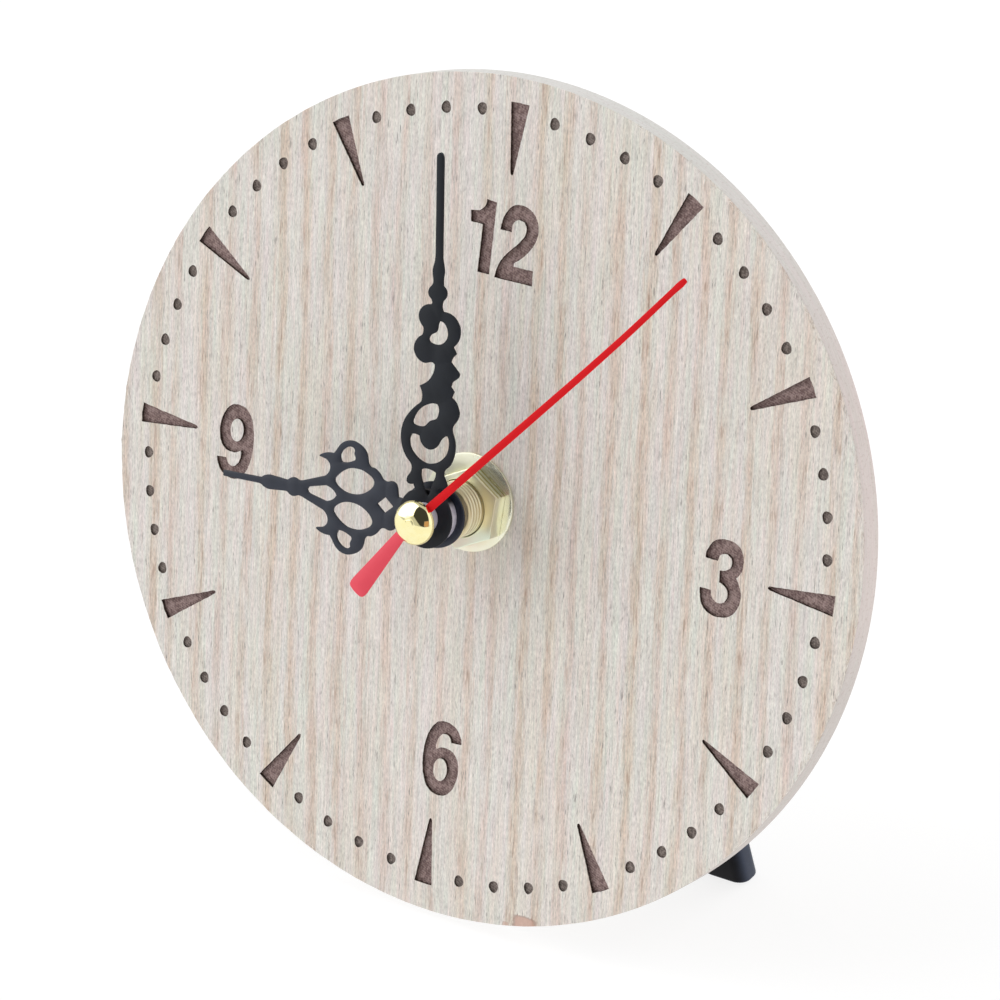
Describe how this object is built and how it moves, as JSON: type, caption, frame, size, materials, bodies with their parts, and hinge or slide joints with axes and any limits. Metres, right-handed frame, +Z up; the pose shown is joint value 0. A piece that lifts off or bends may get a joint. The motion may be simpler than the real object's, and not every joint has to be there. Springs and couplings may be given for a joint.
{
  "type": "round desk clock",
  "caption": "Round wooden disc clock leaning back on a two-legged stand, with burnt-in numerals, pierced hands, a red second hand and a battery movement behind the dial.",
  "frame": {"origin": "middle of the bounding box's footprint, at the level that the disc's lower edge and the two feet stand on", "axes": "+Z up; the dial faces -Y and leans back by 13.28 degrees; +X to the right as the dial is read"},
  "size_m": [0.12, 0.046, 0.1178],
  "materials": {
    "veneer": "sanded, unvarnished",
    "board": "bare cut edge",
    "stand": "satin black",
    "case": "fine grained black",
    "hand_black": "satin black lacquer",
    "hand_red": "gloss red lacquer",
    "brass": "polished",
    "steel": "plated",
    "gasket": "matt",
    "white_plastic": "moulded",
    "amber_plastic": "moulded",
    "copper": "enamelled wire",
    "board_green": "lacquered",
    "chip_black": "resin",
    "cell": "printed sleeve"
  },
  "bodies": {
    "clock_body": {"dial_core": "board", "dial_face": "veneer", "rubber_gasket": "gasket", "washer": "brass", "hex_nut": "brass", "stand_bracket": "stand", "front_case": "case", "back_cover": "case", "threaded_bush": "brass", "train_plate": "white_plastic", "stator": "steel", "coil_core": "steel", "coil_bobbin": "white_plastic", "coil_winding": "copper", "circuit_board": "board_green", "quartz_crystal": "steel", "chip_cover": "chip_black", "contact_positive": "steel", "contact_negative": "steel"},
    "minute": {"minute_hand": "hand_black", "minute_collet": "steel", "cannon_pinion": "brass", "clutch_spring": "steel"},
    "hour": {"hour_hand": "hand_black", "hour_collet": "steel", "hour_wheel": "white_plastic"},
    "setter": {"motion_wheel": "white_plastic", "setting_knob": "case"},
    "second": {"second_hand": "hand_red", "second_tube": "steel", "centre_cap": "brass", "seconds_wheel": "amber_plastic"},
    "third": {"third_wheel": "amber_plastic"},
    "centre": {"centre_wheel": "amber_plastic"},
    "intermediate": {"intermediate_wheel": "amber_plastic"},
    "rotor": {"rotor_pinion": "white_plastic", "rotor_magnet": "steel"},
    "cell": {"battery": "cell"}
  },
  "joints": [
    {"name": "minute_turn", "type": "hinge", "parent": "clock_body", "child": "minute", "pos_m": [-0.00034, -0.00606, 0.05974], "axis": [0, 0.9733, -0.2297], "continuous": true},
    {"name": "hour_turn", "type": "hinge", "parent": "clock_body", "child": "hour", "pos_m": [-0.00034, -0.00606, 0.05974], "axis": [0, 0.9733, -0.2297], "continuous": true},
    {"name": "setter_turn", "type": "hinge", "parent": "clock_body", "child": "setter", "pos_m": [0.00919, -0.0048, 0.0651], "axis": [0, 0.9733, -0.2297], "continuous": true},
    {"name": "second_turn", "type": "hinge", "parent": "clock_body", "child": "second", "pos_m": [-0.00034, -0.00606, 0.05974], "axis": [0, 0.9733, -0.2297], "continuous": true},
    {"name": "third_turn", "type": "hinge", "parent": "clock_body", "child": "third", "pos_m": [-0.00969, -0.00482, 0.065], "axis": [0, 0.9733, -0.2297], "continuous": true},
    {"name": "centre_turn", "type": "hinge", "parent": "clock_body", "child": "centre", "pos_m": [-0.00034, -0.00606, 0.05974], "axis": [0, 0.9733, -0.2297], "continuous": true},
    {"name": "intermediate_turn", "type": "hinge", "parent": "clock_body", "child": "intermediate", "pos_m": [-0.00034, -0.00349, 0.07064], "axis": [0, 0.9733, -0.2297], "continuous": true},
    {"name": "rotor_turn", "type": "hinge", "parent": "clock_body", "child": "rotor", "pos_m": [-0.00679, -0.00201, 0.07692], "axis": [0, 0.9733, -0.2297], "continuous": true},
    {"name": "battery_slide", "type": "slide", "parent": "clock_body", "child": "cell", "axis": [0, 0.9733, -0.2297], "range_m": [0, 0.016]}
  ],
  "couplings": [
    {"joint": "hour_turn", "follows": "minute_turn", "ratio": 0.083333},
    {"joint": "setter_turn", "follows": "minute_turn", "ratio": -0.33333},
    {"joint": "third_turn", "follows": "second_turn", "ratio": -0.13333},
    {"joint": "centre_turn", "follows": "second_turn", "ratio": 0.016667},
    {"joint": "intermediate_turn", "follows": "second_turn", "ratio": -6},
    {"joint": "rotor_turn", "follows": "second_turn", "ratio": 30}
  ]
}
